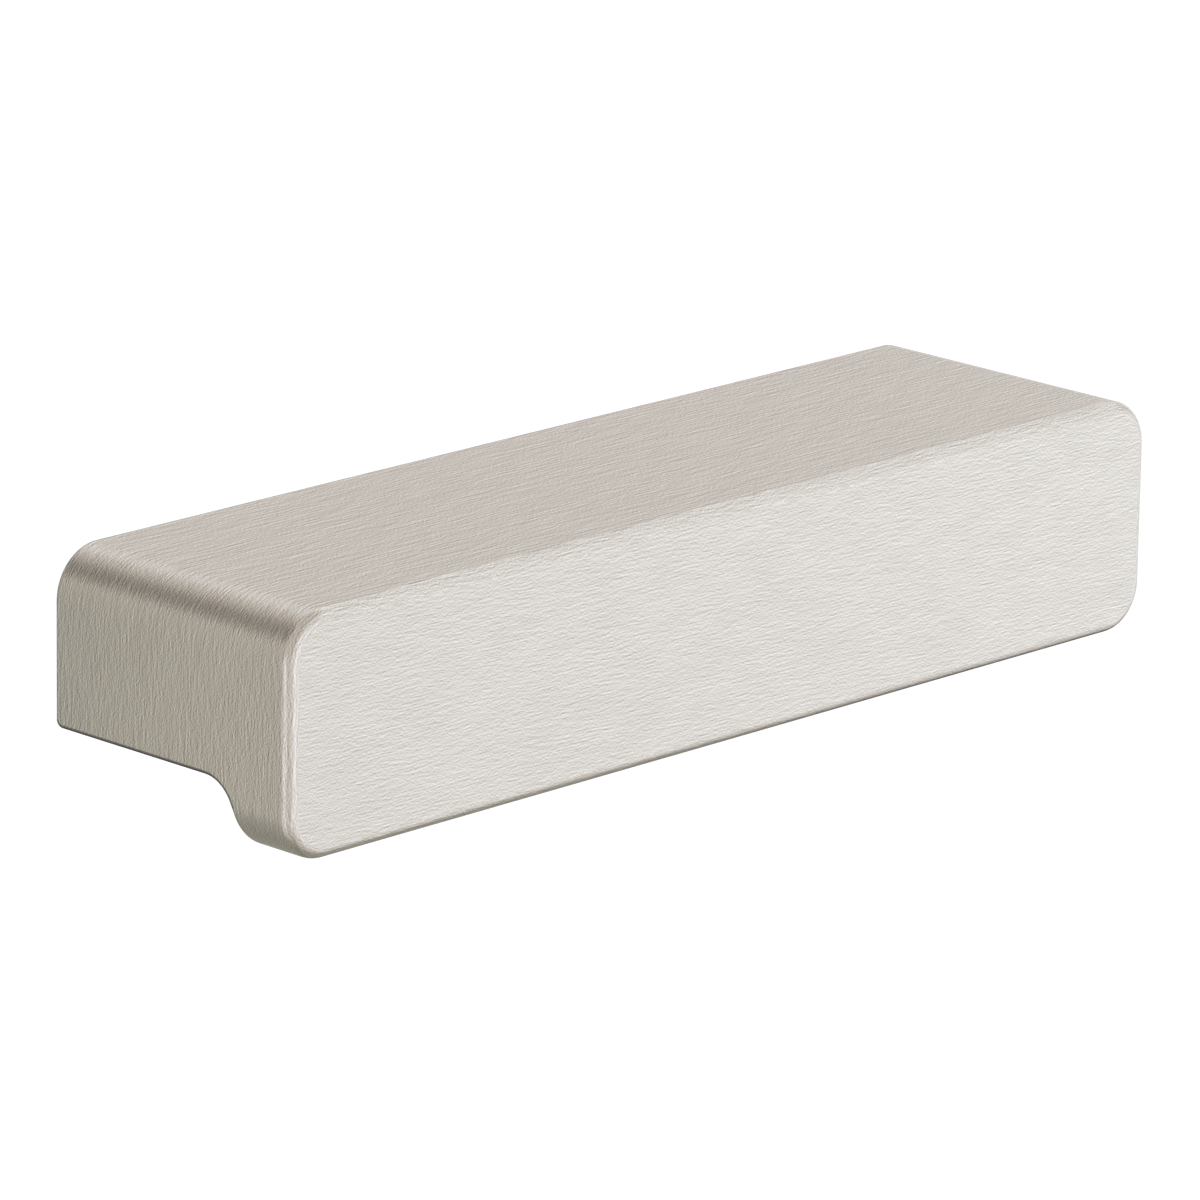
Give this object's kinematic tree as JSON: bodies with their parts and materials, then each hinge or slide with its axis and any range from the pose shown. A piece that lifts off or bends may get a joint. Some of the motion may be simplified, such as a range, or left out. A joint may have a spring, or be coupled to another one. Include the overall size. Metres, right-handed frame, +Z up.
{
  "type": "cabinet pull",
  "caption": "Block-shaped finger pull for a drawer or cabinet door, with rounded ends, a hanging front lip over a finger recess, and blind tapped holes in its flat back.",
  "frame": {"origin": "middle of the flat mounting face, halfway between the two screw holes", "axes": "+X along the pull, +Y into the cabinet front (out of the mounting face), +Z up"},
  "size_m": [0.1016, 0.0271, 0.0205],
  "materials": {
    "satin_nickel": "satin nickel plate over a zinc casting, brushed along the pull and round its ends"
  },
  "bodies": {
    "root": {"pull_body": "satin_nickel"}
  },
  "joints": []
}
